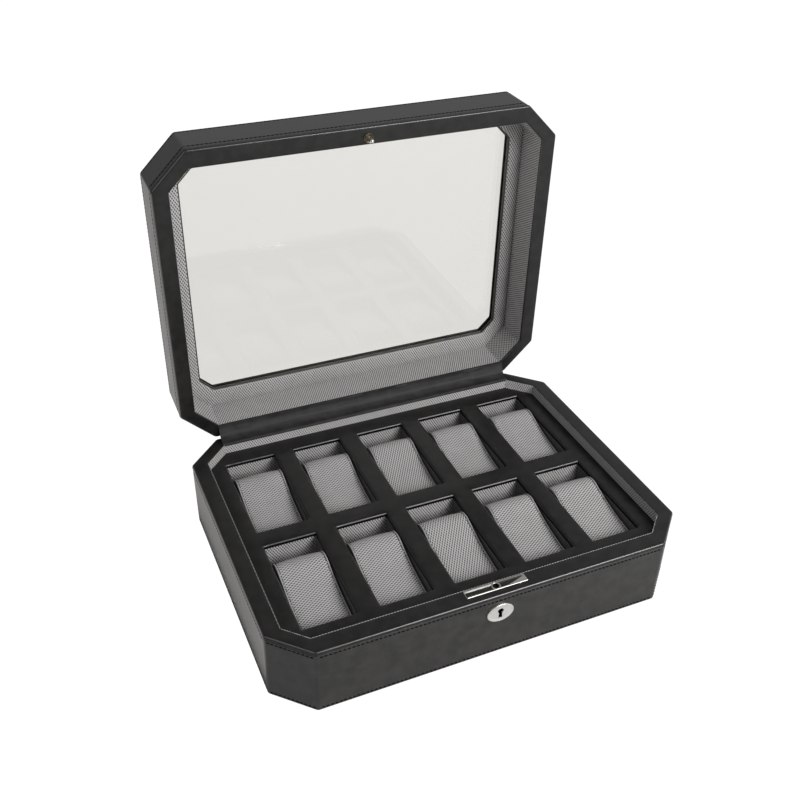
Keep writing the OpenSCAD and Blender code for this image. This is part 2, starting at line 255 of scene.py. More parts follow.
def make(name, points, faces, material, slot, uvs=None, lid=False, sharp=40):
    """A mesh object. uvs holds one pair in metres for each corner of each face."""
    mesh = bpy.data.meshes.new(name)
    mesh.from_pydata([tuple(p) for p in points], [], [tuple(int(i) for i in f) for f in faces])
    if uvs is not None:
        mesh.uv_layers.new(name="weave").uv.foreach_set("vector", np.asarray(uvs, float).ravel())
    if lid:
        mesh.transform(OPENED)
    clean(mesh)
    smooth(mesh, sharp)
    mesh.materials.append(material)
    piece = add_object(name, mesh)
    return piece


def clean(mesh):
    """Drops doubled points and turns every face outwards."""
    b = bmesh.new()
    b.from_mesh(mesh)
    bmesh.ops.remove_doubles(b, verts=b.verts, dist=0.002 * MM)
    bmesh.ops.dissolve_degenerate(b, edges=b.edges, dist=0.001 * MM)
    bmesh.ops.recalc_face_normals(b, faces=b.faces)
    b.to_mesh(mesh)
    b.free()


def fabric_uv(points, down):
    """Where a face's corners lie on the cloth. On walls the cloth's width runs upright and its length runs
    level, and on level faces its length runs along x. down is -1 where the width runs downwards."""
    a, b, c = points[:3]
    normal = np.cross(b - a, c - a)
    normal /= max(np.linalg.norm(normal), 1e-12)
    if abs(normal[2]) > 0.7:
        return [(p[1], p[0]) for p in points]
    if abs(normal[0]) > 0.9:
        return [(down * p[2], p[1]) for p in points]
    stretch = 1 / max(abs(normal[1]), 0.5)
    return [(down * p[2], p[0] * stretch) for p in points]


def loft(name, rings, material, slot, lid=False, sharp=40, cloth=0):
    """A closed skin over rings of points, the last joined to the first. cloth is 0 without fabric, and else
    the direction of the fabric's width on the walls."""
    rings = np.array(rings)
    points = rings.reshape(-1, 3)
    faces = band_faces(*rings.shape[:2], wrap=True)
    uvs = [pair for face in faces for pair in fabric_uv(points[list(face)], cloth)] if cloth else None
    return make(name, points, faces, material, slot, uvs, lid, sharp)


def join(name, parts, material, slot, lid=False, sharp=40):
    """One mesh of many (points, faces) parts."""
    points, faces, start = [], [], 0
    for part_points, part_faces in parts:
        points.append(part_points)
        faces += [[start + i for i in face] for face in part_faces]
        start += len(part_points)
    return make(name, np.concatenate(points), faces, material, slot, None, lid, sharp)


def cut(piece, cutter):
    """Takes cutter out of piece, once and for all."""
    b = piece.modifiers.new("cut", "BOOLEAN")
    b.operation = "DIFFERENCE"
    b.solver = "EXACT"
    b.object = cutter
    settle(piece)
    bpy.data.objects.remove(cutter)


def settle(piece):
    """Applies a piece's modifiers."""
    bpy.context.view_layer.update()
    evaluated = piece.evaluated_get(bpy.context.evaluated_depsgraph_get())
    mesh = bpy.data.meshes.new_from_object(evaluated)
    piece.modifiers.clear()
    piece.data = mesh


def even_normals(piece):
    """Keeps flat faces flat beside their rounded edges."""
    m = piece.modifiers.new("even", "WEIGHTED_NORMAL")
    m.keep_sharp = True
    m.weight = 100
    settle(piece)
    return piece


# ---- Materials ----

class Nodes:
    """A node tree, with short calls for the nodes used here."""

    def __init__(self, tree):
        self.tree = tree

    def link(self, output, socket):
        self.tree.links.new(output, socket)

    def feed(self, socket, value):
        """A link from an output, or a plain value."""
        if isinstance(value, bpy.types.NodeSocket):
            self.link(value, socket)
        else:
            socket.default_value = value

    def add(self, kind, *values, **settings):
        """A new node with some settings and its first inputs fed."""
        node = self.tree.nodes.new(kind)
        for key, value in settings.items():
            setattr(node, key, value)
        for socket, value in zip(node.inputs, values):
            self.feed(socket, value)
        return node

    def fill(self, node, **sockets):
        """Feeds a node's inputs by name, and gives its outputs."""
        for key, value in sockets.items():
            self.feed(node.inputs[key.replace("_", " ")], value)
        return node.outputs

    def maths(self, operation, *values):
        return self.add("ShaderNodeMath", *values, operation=operation).outputs[0]

    def vector(self, operation, *values):
        return self.add("ShaderNodeVectorMath", *values, operation=operation).outputs

    def split(self, vector):
        """The x, y and z of a vector."""
        return self.add("ShaderNodeSeparateXYZ", vector).outputs

    def coordinates(self, kind):
        return self.add("ShaderNodeTexCoord").outputs[kind]

    def noise(self, scale, detail, vector=None):
        vector = vector or self.coordinates("Object")
        node = self.add("ShaderNodeTexNoise")
        return self.fill(node, Vector=vector, Scale=scale, Detail=detail, Roughness=0.55)["Fac"]

    def pebbles(self, scale):
        node = self.add("ShaderNodeTexVoronoi", feature="SMOOTH_F1")
        return self.fill(node, Vector=self.coordinates("Object"), Scale=scale)["Distance"]

    def span(self, value, source, target, smooth=False):
        """A value carried from one range to another, and held inside it."""
        kind = "SMOOTHSTEP" if smooth else "LINEAR"
        return self.add("ShaderNodeMapRange", value, *source, *target, interpolation_type=kind).outputs[0]

    def ramp(self, value, low, high):
        """A colour between two, by a value from 0 to 1."""
        node = self.add("ShaderNodeMix", data_type="RGBA")
        return self.fill(node, Factor=value, A=(*low, 1), B=(*high, 1))["Result"]

    def bump(self, **sockets):
        return self.fill(self.add("ShaderNodeBump"), **sockets)["Normal"]


class Surface(Nodes):
    """A material's nodes."""

    def __init__(self, name):
        self.material = bpy.data.materials.new(name)
        self.material.use_nodes = True
        super().__init__(self.material.node_tree)
        self.tree.nodes.clear()
        self.out = self.add("ShaderNodeOutputMaterial").inputs["Surface"]

    def shade(self, **sockets):
        """Shows a Principled shader with these sockets fed."""
        self.link(self.fill(self.add("ShaderNodeBsdfPrincipled"), **sockets)[0], self.out)
        return self.material


def leather(name, dark, light, roughness, grain=0.30, **sockets):
    """Smooth leather with a fine pebble grain and slight mottling."""
    n = Surface(name)
    mottle = n.noise(scale=110, detail=5)
    pebbles = n.pebbles(scale=1500)
    pores = n.noise(scale=2600, detail=2)
    waves = n.noise(scale=16, detail=2)
    colour = n.ramp(n.span(mottle, (0.3, 0.7), (0, 1), smooth=True), dark, light)
    worn = n.maths("ADD", mottle, n.maths("MULTIPLY", pebbles, 0.5))
    shine = n.span(worn, (0.3, 1.1), (roughness - 0.05, roughness + 0.07))
    height = n.maths("ADD", pebbles, n.maths("MULTIPLY", pores, 0.5))
    swell = n.bump(Height=waves, Strength=0.25, Distance=1.2 * MM)
    normal = n.bump(Height=height, Strength=grain, Distance=0.12 * MM, Normal=swell)
    return n.shade(Base_Color=colour, Roughness=shine, Normal=normal, **sockets)


NUB_W = 3.41 * MM
NUB_H = 2.08 * MM


def weave(name, dark, light, turned=False):
    """Woven fabric on the "weave" UV map, which is in metres."""
    n = Surface(name)
    uv = n.split(n.add("ShaderNodeUVMap", uv_map="weave").outputs["UV"])
    across, along = (uv["Y"], uv["X"]) if turned else (uv["X"], uv["Y"])
    return woven(n, across, along, dark, light)


def liner_weave(name, dark, light, painted_side_shade):
    """The same fabric for the frame's compartment walls, which have no UV map. The pattern runs level on each
    wall, and the walls that face left and right are darkened with painted shade for the shadow on them."""
    n = Surface(name)
    # painted shade: the cloth on the walls that face left and right is darkened for the shadow on them
    side = n.maths("ABSOLUTE", n.split(n.coordinates("Normal"))["X"])
    shade = n.maths("SUBTRACT", 1, n.maths("MULTIPLY", side, painted_side_shade))
    return woven(n, *wall_coordinates(n), dark, light, shade)


def woven(n, across, along, dark, light, shade=1.0):
    """Woven fabric: slanted nubs on a staggered lattice, over darker ground. shade below 1 is painted shade."""
    a = n.maths("MULTIPLY", across, 2 * math.pi / NUB_W)
    b = n.maths("MULTIPLY", along, 2 * math.pi / NUB_H)
    ribs = n.maths("MULTIPLY", n.maths("COSINE", n.maths("SUBTRACT", b, a)), 0.57)
    breaks = n.maths("MULTIPLY", n.maths("COSINE", n.maths("ADD", b, a)), 0.43)
    fibre = n.noise(scale=2400, detail=3)
    height = n.maths("ADD", n.maths("ADD", ribs, breaks), n.span(fibre, (0.3, 0.7), (-0.2, 0.2)))
    nub = n.span(height, (-0.75, 0.35), (0, 1), smooth=True)
    patches = n.span(n.noise(scale=90, detail=3), (0.3, 0.7), (0.9, 1))
    # shade below 1 multiplies painted shade into the colour
    colour = n.ramp(n.maths("MULTIPLY", nub, n.maths("MULTIPLY", patches, shade)), dark, light)
    height = n.maths("ADD", nub, n.maths("MULTIPLY", fibre, 0.25))
    return n.shade(
        Base_Color=colour, Roughness=n.span(nub, (0, 1), (0.8, 0.52)), Specular_IOR_Level=0.45,
        Normal=n.bump(Height=height, Strength=0.55, Distance=0.28 * MM),
        Sheen_Weight=0.12, Sheen_Roughness=0.4,
    )


def wall_coordinates(n):
    """Where a point lies on its own flat face: down a wall and along it, or x and y on a level face."""
    place = n.split(n.coordinates("Object"))
    cross = n.vector("CROSS_PRODUCT", (0, 0, 1), n.coordinates("Normal"))[0]
    level = n.vector("NORMALIZE", cross)[0]
    upright = n.vector("LENGTH", cross)["Value"]
    run = n.vector("DOT_PRODUCT", level, n.coordinates("Object"))["Value"]
    is_wall = n.maths("GREATER_THAN", upright, 0.5)
    flat = n.maths("SUBTRACT", 1, is_wall)

    def either(on_wall, on_flat):
        return n.maths("ADD", n.maths("MULTIPLY", on_wall, is_wall), n.maths("MULTIPLY", on_flat, flat))

    down = n.maths("MULTIPLY", place["Z"], -1)
    return either(down, place["X"]), either(run, place["Y"])


def metal(name, colour, roughness, brushed=0.0):
    """Plated metal with faint handling marks."""
    n = Surface(name)
    marks = n.noise(scale=350, detail=4)
    streaks = n.fill(n.add("ShaderNodeMapping"), Vector=n.coordinates("Object"), Scale=(40, 2500, 2500))[0]
    lines = n.noise(scale=1, detail=2, vector=streaks)
    return n.shade(
        Base_Color=n.ramp(marks, [c * 0.88 for c in colour], colour), Metallic=1,
        Roughness=n.span(marks, (0.3, 0.7), (roughness * 0.8, roughness * 1.25)),
        Normal=n.bump(Height=lines, Strength=0.08 + brushed, Distance=0.03 * MM),
    )


def plain(name, dark, light, roughness, scale, bump=0.2, depth=0.1 * MM, **sockets):
    """A matt material that varies a little: board, rubber, felt, thread."""
    n = Surface(name)
    grain = n.noise(scale, detail=4)
    return n.shade(
        Base_Color=n.ramp(grain, dark, light), Normal=n.bump(Height=grain, Strength=bump, Distance=depth),
        Roughness=n.span(grain, (0.2, 0.8), (roughness - 0.08, roughness + 0.08)), **sockets,
    )


GLASS_MIRROR = 0.045


def glass(name):
    """A clear pane: each face mirrors a little, by angle, and lets the rest through, slightly greyed."""
    n = Surface(name)
    smears = n.ramp(n.noise(scale=14, detail=3), (0.850, 0.846, 0.829), (0.862, 0.857, 0.841))
    clear = n.fill(n.add("ShaderNodeBsdfTransparent"), Color=smears)[0]
    mirror = n.fill(n.add("ShaderNodeBsdfGlossy"), Roughness=0.02)[0]
    facing = n.fill(n.add("ShaderNodeLayerWeight"), Blend=0.5)["Facing"]
    grazing = n.maths("MULTIPLY", n.maths("POWER", facing, 5), 1 - GLASS_MIRROR)
    share = n.maths("ADD", GLASS_MIRROR, grazing)
    n.link(n.add("ShaderNodeMixShader", share, clear, mirror).outputs[0], n.out)
    return n.material


BODY_LEATHER = leather(
    "body leather", (0.0075, 0.0070, 0.0062), (0.023, 0.0218, 0.0196), 0.44, grain=0.5)
RIM_LEATHER = leather(
    "rim leather", (0.0040, 0.0038, 0.0035), (0.0130, 0.0124, 0.0115), 0.40, grain=0.35,
    Specular_IOR_Level=0.34)
TRAY_LEATHER = leather(
    "tray leather", (0.0034, 0.0033, 0.0031), (0.0125, 0.0120, 0.0112), 0.42, Specular_IOR_Level=0.3)
STRIP_LEATHER = leather(
    "strip leather", (0.010, 0.010, 0.0102), (0.024, 0.024, 0.0245), 0.60, grain=0.6, Specular_IOR_Level=0.4)
RIM_EDGE = leather(
    "rim edge", (0.012, 0.0117, 0.0113), (0.020, 0.0195, 0.019), 0.32, grain=0.1,
    Specular_IOR_Level=0.8, Coat_Weight=0.2, Coat_Roughness=0.25)
TRAY_EDGE = leather(
    "tray edge", (0.008, 0.008, 0.008), (0.012, 0.012, 0.012), 0.30, grain=0.1, Specular_IOR_Level=0.6)
# near black on the tray's walls inside the openings, and painted shade inside the keyhole and the ring's hole
BLACK_AND_PAINTED_SHADE = plain(
    "near black and painted shade", (0.0012, 0.0012, 0.0012), (0.0022, 0.0022, 0.0022), 0.85, 900, Specular_IOR_Level=0.1)
THREAD = plain(
    "black thread", (0.0015, 0.0015, 0.0015), (0.004, 0.004, 0.004), 0.85, 4000, Specular_IOR_Level=0.1)
FABRIC_DARK = (0.035, 0.034, 0.034)
FABRIC_LIGHT = (0.56, 0.55, 0.545)
CUSHION_DARK = (0.055, 0.054, 0.052)
LINING = weave("grey lining", FABRIC_DARK, FABRIC_LIGHT)
# painted shade darkens the compartments' side walls for the shadow they stand in
LINER = liner_weave("compartment lining with painted side shade", FABRIC_DARK, FABRIC_LIGHT, painted_side_shade=0.88)
CUSHION_FABRIC = weave("cushion fabric", CUSHION_DARK, FABRIC_LIGHT)
CUSHION_FABRIC_TURNED = weave("cushion fabric turned", CUSHION_DARK, FABRIC_LIGHT, turned=True)
PIPING = plain("piping", (0.28, 0.276, 0.27), (0.50, 0.49, 0.485), 0.6, 900)
SEAM_THREAD = plain("grey thread", (0.02, 0.02, 0.02), (0.05, 0.05, 0.05), 0.8, 4000)
NICKEL = metal("nickel", (0.74, 0.73, 0.70), 0.28)
LOCK_NICKEL = metal("lock nickel", (0.50, 0.49, 0.47), 0.36)
SATIN_NICKEL = metal("satin nickel", (0.78, 0.77, 0.74), 0.34)
STEEL = metal("plated steel", (0.55, 0.55, 0.54), 0.36, brushed=0.1)
CUP_BRASS = metal("dark brass", (0.10, 0.085, 0.06), 0.4)
# painted shade: darker metal standing in for the shade and dark reflections in the lock plate's channel
CHANNEL_PAINTED_SHADE = metal("channel painted shade", (0.05, 0.05, 0.048), 0.35)
GASKET = plain("black rubber", (0.022, 0.021, 0.018), (0.034, 0.033, 0.028), 0.35, 300)
BOARD = plain("fibreboard", (0.36, 0.26, 0.17), (0.48, 0.36, 0.25), 0.8, 500)
FELT = plain("black felt", (0.010, 0.010, 0.012), (0.025, 0.025, 0.028), 0.95, 1800, 0.6, 0.4 * MM)
FOAM = plain("cream foam", (0.62, 0.58, 0.46), (0.75, 0.71, 0.60), 0.9, 900)
GLASS = glass("window glass")

SLOT_MATERIALS = {
    "body_leather": BODY_LEATHER, "rim_leather": RIM_LEATHER, "tray_leather": TRAY_LEATHER,
    "strip_leather": STRIP_LEATHER, "grey_fabric": LINER, "cushion_fabric": CUSHION_FABRIC, "board": BOARD,
    "foam": FOAM, "window_glass": GLASS, "gasket_rubber": GASKET, "lock_nickel": NICKEL,
    "cup_brass": CUP_BRASS, "hinge_steel": STEEL, "bottom_felt": FELT,
}


def paint_frame():
    """Gives every CAD node the material of its slot in the record."""
    for part in frame["record"]["subparts"]:
        materials = frame["nodes"][part["node"]].data.materials
        materials.clear()
        materials.append(SLOT_MATERIALS[part["material_slot"]])


# ---- Leather shells ----

LIP = 2.8
WRAP_T = 1.2
BASE_STITCHES = [5.2, RIM_Z / MM - 3]
LID_STITCHES = [7.2, (LID_TOP_Z - LID_RIM_Z) / MM - 2.6]


def leather_wrap(name, edge_z, far_z, stitch_at, lid):
    """The leather round the walls, from under the rim's lip at edge_z to its far edge, with a groove under
    each row of stitches. On the base the far edge is below the rim, and on the lid it is above."""
    side = 1 if far_z > edge_z else -1
    far = abs(far_z - edge_z) / MM
    start = LIP + 0.45
    corners = [(WRAP_T, start, 0.2), (0.1, start, 0.5)]
    for at in stitch_at:
        corners += [(0, at - 0.9, 0.6), (0.28, at, 0.5), (0, at + 0.9, 0.6)]
    corners += [(0, far, 1.5), (4, far, 0.2), (4, far - 0.7, 0.2), (WRAP_T, far - 1.5, 0.3)]
    rings = sweep_rings(OUTER, corner_profile(edge_z, side, corners))
    return even_normals(loft(name, rings, BODY_LEATHER, "body_leather", lid))


def edge_material(piece, material, low, high, near):
    """Gives folded edges another material: the faces whose normal's z, either way, is between low and high,
    where near says that a place lies on such an edge."""
    piece.data.materials.append(material)
    index = len(piece.data.materials) - 1
    for face in piece.data.polygons:
        if low < abs(face.normal.z) < high and near(face.center):
            face.material_index = index


def rim_leather(name, rim_z, inward, lid):
    """The rim's leather: a lip folded over the outer edge, a slightly padded top and a turned inner edge.
    inward is the side that the walls are on, -1 below the rim and 1 above it."""
    lip = [(1.3, LIP, 0.3), (-0.25, LIP, 0.7), (-0.1, -0.05, 1.5), (4, -0.2, 0)]
    turn = [(-3, -0.15, 0), (0.05, 0, 0.8), (0.05, 1.8, 0.2), (-0.6, 1.8, 0.2)]
    rings = sweep_rings(OUTER, corner_profile(rim_z, inward, lip)[:-1])
    rings += [OUTER.inset(3 * MM).ring(rim_z - inward * 0.2 * MM, CORNER_R * 0.6)]
    rings += [INNER.inset(-3 * MM).ring(rim_z - inward * 0.15 * MM, CORNER_R * 0.4)]
    rings += sweep_rings(INNER, corner_profile(rim_z, inward, turn)[1:], 1.2 * MM)
    rings += [OUTER.inset(2 * MM).ring(rim_z + inward * 1.6 * MM, CORNER_R * 0.6)]
    piece = loft(name, rings, RIM_LEATHER, "rim_leather")
    edge_material(piece, RIM_EDGE, 0.25, 0.97, lambda at: (at.z - rim_z) * inward < 1.5 * MM)
    if lid:
        piece.data.transform(OPENED)
    return even_normals(piece)


def lid_top_leather():
    """The band round the window on the lid's outside, turned over its outer edge and into the window."""
    fold = [(2.5, -1.2, 0.2), (0.35, -1.2, 0.3), (0.35, 0, 1), (6, 0, 0)]
    turn = [(-5, 0, 0), (0, 0, 0.7), (0, -1.1, 0.2), (-2, -1.1, 0.2)]
    middle_z = LID_TOP_Z + 0.15 * MM
    rings = sweep_rings(OUTER, corner_profile(LID_TOP_Z, 1, fold)[:-1])
    rings += [OUTER.inset(5 * MM).ring(middle_z, 2.5 * MM), WINDOW.inset(-5 * MM).ring(middle_z, 3 * MM)]
    rings += sweep_rings(WINDOW.inset(-1 * MM), corner_profile(LID_TOP_Z, 1, turn)[1:], 2 * MM)
    return even_normals(loft("lid_top_band", rings, BODY_LEATHER, "body_leather", lid=True))


STITCH_PITCH = 3.1 * MM
STITCH_LENGTH = 2.0 * MM
STITCH_R = 0.42 * MM
STITCH_LEAN = 0.06
STITCH_DEPTH = 0.18 * MM


def stitch():
    """Points and faces of a stitch along X: a thread that thins at both ends."""
    rings = []
    shape = [(-0.5, 0.25), (-0.42, 0.75), (-0.25, 1), (0, 1.05), (0.25, 1), (0.42, 0.75), (0.5, 0.25)]
    for share, thickness in shape:
        r = STITCH_R * thickness
        rings.append([(share * STITCH_LENGTH, r * c, r * s) for c, s in circle(8)])
    return skin(rings)


def stitch_rows(name, rows, lid):
    """Rows of stitches round the walls, one at each height."""
    points, faces = stitch()
    x, y, h = points.T
    corners = OUTER.inset(STITCH_DEPTH).corners()
    parts = []
    for z in rows:
        for start, end in zip(corners, np.roll(corners, -1, 0)):
            length = np.linalg.norm(end - start)
            along = (end - start) / length
            outward = np.array([along[1], -along[0]])
            count = int((length - 2 * MM) / STITCH_PITCH)
            first = (length - (count - 1) * STITCH_PITCH) / 2
            for k in range(count):
                lean = STITCH_LEAN if k % 2 else -STITCH_LEAN
                level = start + along * (first + k * STITCH_PITCH) + np.outer(x, along) + np.outer(y, outward)
                parts.append((np.column_stack([level, z + h + lean * x]), faces))
    return join(name, parts, THREAD, "rim_leather", lid)


def base_shell():
    wrap = leather_wrap("base_wrap", RIM_Z, 0.4 * MM, BASE_STITCHES, lid=False)
    cut(wrap, keyhole_cutter(0.5 * MM))
    smooth(wrap.data, 40)
    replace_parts(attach(wrap, "base"), "base_leather_wrap")
    rim = rim_leather("base_rim", RIM_Z, -1, lid=False)
    cut(rim, stud_bore())
    cut(rim, bolt_pocket())
    smooth(rim.data, 40)
    even_normals(rim)
    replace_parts(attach(rim, "base"), "base_rim_leather")
    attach(stitch_rows("base_stitches", [RIM_Z - at * MM for at in BASE_STITCHES], lid=False), "base")


def lid_shell():
    wrap = leather_wrap("lid_wrap", LID_RIM_Z, LID_TOP_Z - 0.5 * MM, LID_STITCHES, lid=True)
    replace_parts(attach(wrap, "lid"), "lid_leather_wrap")
    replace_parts(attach(rim_leather("lid_rim", LID_RIM_Z, 1, lid=True), "lid"), "lid_rim_leather")
    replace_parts(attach(lid_top_leather(), "lid"), "lid_top_leather")
    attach(stitch_rows("lid_stitches", [LID_RIM_Z + at * MM for at in LID_STITCHES], lid=True), "lid")


# ---- Fabric linings and window ----

LINING_CORNER_R = 0.8 * MM


def wall_lining(name, profile, node, body, lid, down):
    """The fabric on the inside of the walls."""
    rings = sweep_rings(INNER, profile, LINING_CORNER_R)
    piece = loft(name, rings, LINING, "grey_fabric", lid=lid, cloth=down)
    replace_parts(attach(piece, body), node)


def flange():
    """The padded fabric that slopes from the lid's walls to the window."""
    edge = WINDOW.inset(-1 * MM)
    z = PANEL_Z - 1 * MM
    rings = [INNER.ring(PANEL_Z, LINING_CORNER_R), INNER.ring(z + 0.2 * MM, LINING_CORNER_R)]
    for share, drop in ((0.12, 0.35), (0.3, 0.75), (0.5, 0.9), (0.7, 0.75), (0.86, 0.4)):
        rings.append(INNER.toward(edge, share).ring(z - drop * MM, 1.5 * MM))
    for inset, height in ((-0.5, 0.0), (-0.1, 0.3), (0, 0.7), (0, 1.0)):
        rings.append(edge.inset(inset * MM).ring(z + height * MM, 2 * MM))
    piece = loft("lid_flange", rings, LINING, "grey_fabric", lid=True, sharp=70, cloth=1)
    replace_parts(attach(piece, "lid"), "lid_flange_lining")


def linings():
    """The fabric on the walls of the base and the lid, and the flange round the window."""
    back, edge = -1 * MM, 0.45 * MM
    bottom, top = levels_of("base_wall_lining")
    upper = [(edge, RIM_Z - 0.5 * MM), (edge / 2, RIM_Z - 0.2 * MM), (back, top)]
    wall = [(back, bottom), (edge, bottom)] + upper
    wall_lining("base_lining", wall, "base_wall_lining", "base", lid=False, down=-1)
    bottom, top = levels_of("lid_wall_lining", lid=True)
    wall = [(back, bottom), (0, bottom), (0, top), (back, top)]
    wall_lining("lid_lining", wall, "lid_wall_lining", "lid", lid=True, down=1)
    flange()


def window_bead(name, edge_z, glass_z, edge_r):
    """A rubber bead round the window, from a rounded free edge to the glass."""
    back, front, tight = -1 * MM, -0.1 * MM, 0.1 * MM
    free_edge = [(back, edge_z, 0.3 * MM), (front, edge_z, edge_r)]
    profile = rounded(free_edge + [(front, glass_z, tight), (back, glass_z, tight)])
    rings = sweep_rings(WINDOW, profile, 2.5 * MM)
    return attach(loft(name, rings, GASKET, "gasket_rubber", lid=True), "lid")


def window():
    """The rubber beads that hold the glass."""
    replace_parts(window_bead("window_bead_inside", PANEL_Z - 0.5 * MM, GLASS_Z[0], 0.4 * MM), "glass_gasket")
    window_bead("window_bead_outside", LID_TOP_Z - 0.2 * MM, GLASS_Z[1], 0.5 * MM)


# ---- Tray ----

SLOT_W = 39 * MM
SLOT_D = 84 * MM
LINER_MARGIN = 1 * MM
TRAY_EDGE_R = 1.6 * MM
TRAY_SPACING = 4 * MM
NEAR_EDGE = TRAY_EDGE_R * np.array([0, 0.04, 0.14, 0.3, 0.5, 0.72, 1.0, 1.6, 2.4])


def cushion_centres():
    """The middle of each compartment in x, and its row's middle in y, from the CAD liners and cushions."""
    low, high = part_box("compartment_liners")
    reach = LINER_MARGIN + SLOT_D / 2
    rows = [high[1] - reach, low[1] + reach]
    boxes = [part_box("cushion_cover_" + name) for name in CUSHIONS]
    return [((a[0] + b[0]) / 2, rows[i // 5]) for i, (a, b) in enumerate(boxes)]


def tray_lines(middles, size, low, high):
    """Grid lines from low to high, close together beside each opening's edge, and how far each line is from
    the nearest opening."""
    lines = {low, high}
    for middle in middles:
        for side in (-1, 1):
            lines |= {middle + side * (size / 2 + d) for d in NEAR_EDGE}
    for a, b in zip(sorted(lines), sorted(lines)[1:]):
        if b - a > 1.5 * TRAY_SPACING:
            lines |= set(np.linspace(a, b, int((b - a) / TRAY_SPACING) + 1))
    lines = np.array(sorted(x for x in lines if low <= x <= high))
    return lines, np.min([np.abs(lines - m) for m in middles], 0) - size / 2


def tray_heights(xs, ys, gap_x, gap_y):
    """The leather's height over the grid: rolled down at the openings and at the walls, padded in between."""
    w, front, back, corner = INNER.inset(TRAY_FIT).sizes
    x, y = xs[:, None], ys[None, :]
    far = np.hypot(np.maximum(gap_x, 0)[:, None], np.maximum(gap_y, 0)[None, :])
    chamfer = (corner - np.abs(x) - np.abs(y)) / ROOT2
    wall = np.minimum(np.minimum(w - np.abs(x), chamfer), np.minimum(y - front, back - y))
    edge = TRAY_EDGE_R - np.clip(far, 0, TRAY_EDGE_R)
    z = TRAY_Z - TRAY_EDGE_R + np.sqrt(TRAY_EDGE_R ** 2 - edge ** 2)
    z += 0.35 * MM * (1 - np.exp(-far / (3 * MM))) * np.clip(wall / (3 * MM), 0, 1)
    z -= 0.5 * MM * np.exp(-np.maximum(wall, 0) / (0.8 * MM))
    unevenness = [[noise.noise(Vector((a * 28, b * 28, 3.1))) for b in ys] for a in xs]
    return z + 0.10 * MM * np.array(unevenness)


def tray_mesh(centres):
    """The leather as one layer: the grid without its openings and outside corners."""
    w, front, back, corner = INNER.inset(TRAY_FIT).sizes
    xs, gap_x = tray_lines(sorted({round(x, 5) for x, _ in centres}), SLOT_W, -w, w)
    ys, gap_y = tray_lines(sorted({round(y, 5) for _, y in centres}), SLOT_D, front, back)
    z = tray_heights(xs, ys, gap_x, gap_y)
    b = bmesh.new()
    made = [[b.verts.new((x, y, z[i, j])) for j, y in enumerate(ys)] for i, x in enumerate(xs)]
    for i in range(len(xs) - 1):
        for j in range(len(ys) - 1):
            if gap_x[i] + gap_x[i + 1] >= 0 or gap_y[j] + gap_y[j + 1] >= 0:
                b.faces.new([made[i][j], made[i + 1][j], made[i + 1][j + 1], made[i][j + 1]])
    bmesh.ops.delete(b, geom=[v for v in b.verts if not v.link_faces], context="VERTS")
    drop_openings(b, centres)
    for side in ((-1, -1), (-1, 1), (1, -1), (1, 1)):
        bmesh.ops.bisect_plane(
            b, geom=b.verts[:] + b.edges[:] + b.faces[:], dist=0.001 * MM, clear_outer=True,
            plane_co=(side[0] * w, side[1] * (corner - w), 0), plane_no=(*side, 0),
        )
    b.normal_update()
    mesh = bpy.data.meshes.new("tray_padding")
    b.to_mesh(mesh)
    b.free()
    return mesh


def drop_openings(b, centres):
    """Carries the leather straight down inside every opening."""
    close = 0.001 * MM

    def on_opening(v):
        gaps = [max(abs(v.co.x - x) - SLOT_W / 2, abs(v.co.y - y) - SLOT_D / 2) for x, y in centres]
        return any(abs(gap) < close for gap in gaps)

    edges = [e for e in b.edges if len(e.link_faces) == 1 and all(on_opening(v) for v in e.verts)]
    for v in bmesh.ops.extrude_edge_only(b, edges=edges)["geom"]:
        if isinstance(v, bmesh.types.BMVert):
            v.co.z = TRAY_BOTTOM


def tray():
    """The padded leather over the tray, rolled into each opening."""
    piece = add_object("tray_padding", tray_mesh(cushion_centres()))
    piece.data.materials.append(TRAY_LEATHER)
    solid = piece.modifiers.new("thickness", "SOLIDIFY")
    solid.thickness = 0.8 * MM
    solid.offset = -1
    settle(piece)
    smooth(piece.data, 50)
    edge_material(piece, TRAY_EDGE, 0.35, 0.9, lambda at: at.z > TRAY_Z - TRAY_EDGE_R)
    edge_material(piece, BLACK_AND_PAINTED_SHADE, -1, 0.35, lambda at: at.z < TRAY_Z - 0.5 * MM)
    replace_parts(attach(piece, "base"), "tray_leather")


# ---- Hinge strip ----

STRIP_T = 0.5 * MM


def smooth_path(anchors, count):
    """Evenly spaced points on a smooth curve through the anchors."""
    dense = []
    padded = np.vstack([2 * anchors[0] - anchors[1], anchors, 2 * anchors[-1] - anchors[-2]])
    for a, b, c, d in zip(padded, padded[1:], padded[2:], padded[3:]):
        terms = [2 * b, c - a, 2 * a - 5 * b + 4 * c - d, 3 * b - a - 3 * c + d]
        for t in np.linspace(0, 1, 12, endpoint=False):
            dense.append(0.5 * sum(term * t ** power for power, term in enumerate(terms)))
    return evenly(np.array(dense + [anchors[-1]]), count)[0]


def strip_path():
    """The strip from the base's rim over the hinge to the lid's rim, as (y, z) points."""
    y = INNER.sizes[2]
    lid = OPENED @ Vector((0, y, LID_RIM_Z))
    anchors = [(y + a * MM, RIM_Z + b * MM) for a, b in ((-0.5, -1.2), (-0.2, 0.4), (3.6, 1.2))]
    anchors += [(PIVOT.y + a * MM, PIVOT.z + b * MM) for a, b in ((-2.6, 2.6), (-0.8, 5.6))]
    anchors += [(lid.y + a * MM, lid.z + b * MM) for a, b in ((-0.5, -1.2), (-0.4, 0.2), (1.2, 0.6))]
    return smooth_path(np.array(anchors), 26)


